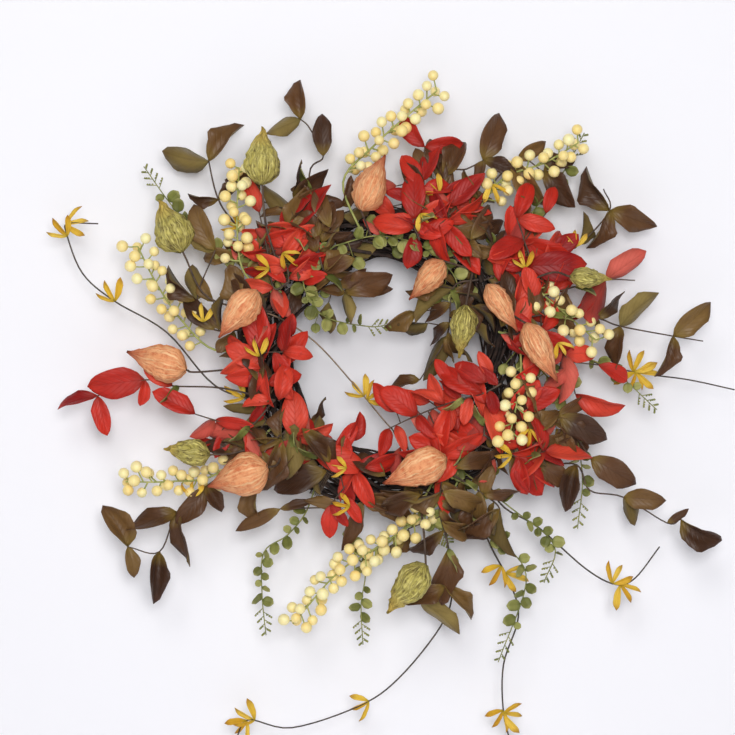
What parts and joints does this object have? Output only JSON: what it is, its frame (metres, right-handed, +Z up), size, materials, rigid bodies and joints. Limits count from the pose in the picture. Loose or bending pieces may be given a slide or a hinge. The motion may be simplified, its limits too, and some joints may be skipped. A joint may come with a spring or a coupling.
{
  "type": "door wreath",
  "caption": "Round autumn wreath: leaf, berry, pod, greenery and blossom picks fixed in a bound ring of twisted vine.",
  "frame": {"origin": "top of the ring's inner edge, halfway through its thickness, where a door hook bears", "axes": "+Z up, +Y towards the door, so the front faces -Y"},
  "size_m": [0.7008, 0.1264, 0.6797],
  "materials": {
    "vine_bark": "matte",
    "binding_wire": "matte",
    "red_leaf": "matte",
    "brown_leaf": "matte",
    "cream_berry": "matte",
    "gold_pod": "matte",
    "peach_pod": "matte",
    "green_leaf": "matte",
    "yellow_blossom": "matte"
  },
  "bodies": {
    "wreath": {"berry_pick_bottom": "cream_berry", "berry_pick_left": "cream_berry", "berry_pick_low_left": "cream_berry", "berry_pick_right": "cream_berry", "berry_pick_right_upper": "cream_berry", "berry_pick_top": "cream_berry", "berry_pick_top_right": "cream_berry", "berry_pick_upper_left": "cream_berry", "brown_pick_bottom_left": "brown_leaf", "brown_pick_bottom_right": "brown_leaf", "brown_pick_far_low_left": "brown_leaf", "brown_pick_far_low_right": "brown_leaf", "brown_pick_inner_right": "brown_leaf", "brown_pick_left": "brown_leaf", "brown_pick_low_right": "brown_leaf", "brown_pick_right": "brown_leaf", "brown_pick_top": "brown_leaf", "brown_pick_top_left": "brown_leaf", "brown_pick_top_right": "brown_leaf", "brown_pick_upper_right": "brown_leaf", "gold_pod_pick_bottom": "gold_pod", "gold_pod_pick_left": "gold_pod", "gold_pod_pick_top_left": "gold_pod", "green_pick_bottom_right": "green_leaf", "green_pick_inner_top": "green_leaf", "green_pick_right": "green_leaf", "green_pick_top_left": "green_leaf", "green_pick_upper_right": "green_leaf", "green_pod_pick_right": "gold_pod", "peach_pod_pick_bottom": "peach_pod", "peach_pod_pick_far_left": "peach_pod", "peach_pod_pick_left": "peach_pod", "peach_pod_pick_right": "peach_pod", "peach_pod_pick_top": "peach_pod", "pod_pick_inner_right": "gold_pod", "pod_pick_low_left": "gold_pod", "red_pick_bottom_left": "red_leaf", "red_pick_inner_right": "red_leaf", "red_pick_left": "red_leaf", "red_pick_left_inner": "red_leaf", "red_pick_right": "red_leaf", "red_pick_right_low": "red_leaf", "red_pick_right_tip": "red_leaf", "red_pick_top": "red_leaf", "red_pick_upper_left": "red_leaf", "red_pick_upper_right": "red_leaf", "ring_binding_1": "binding_wire", "ring_binding_2": "binding_wire", "ring_strand_1": "vine_bark", "ring_strand_2": "vine_bark", "ring_strand_3": "vine_bark", "ring_strand_4": "vine_bark", "vine_inner": "yellow_blossom"},
    "green_sprig_hanging_bottom": {"green_sprig_hanging_bottom": "green_leaf"},
    "green_sprig_hanging_left": {"green_sprig_hanging_left": "green_leaf"},
    "vine_bottom": {"vine_bottom": "yellow_blossom"},
    "vine_bottom_left": {"vine_bottom_left": "yellow_blossom"},
    "vine_left": {"vine_left": "yellow_blossom"},
    "vine_low_right": {"vine_low_right": "yellow_blossom"},
    "vine_right": {"vine_right": "yellow_blossom"}
  },
  "joints": [
    {"name": "green_sprig_hanging_bottom_bend", "type": "hinge", "parent": "wreath", "child": "green_sprig_hanging_bottom", "pos_m": [-0.034, -0.0315, -0.213], "axis": [0, 1, 0], "range_deg": [-8, 8]},
    {"name": "green_sprig_hanging_left_bend", "type": "hinge", "parent": "wreath", "child": "green_sprig_hanging_left", "pos_m": [-0.066, -0.0364, -0.201], "axis": [0, 1, 0], "range_deg": [-8, 8]},
    {"name": "vine_bottom_bend", "type": "hinge", "parent": "wreath", "child": "vine_bottom", "pos_m": [0.068, -0.0329, -0.199], "axis": [0, 1, 0], "range_deg": [-8, 8]},
    {"name": "vine_bottom_left_bend", "type": "hinge", "parent": "wreath", "child": "vine_bottom_left", "pos_m": [0.044, -0.0315, -0.211], "axis": [0, 1, 0], "range_deg": [-8, 8]},
    {"name": "vine_left_bend", "type": "hinge", "parent": "wreath", "child": "vine_left", "pos_m": [-0.118, -0.0315, -0.139], "axis": [0, 1, 0], "range_deg": [-8, 8]},
    {"name": "vine_low_right_bend", "type": "hinge", "parent": "wreath", "child": "vine_low_right", "pos_m": [0.088, -0.0413, -0.181], "axis": [0, 1, 0], "range_deg": [-8, 8]},
    {"name": "vine_right_bend", "type": "hinge", "parent": "wreath", "child": "vine_right", "pos_m": [0.124, -0.0322, -0.085], "axis": [0, 1, 0], "range_deg": [-8, 8]}
  ]
}
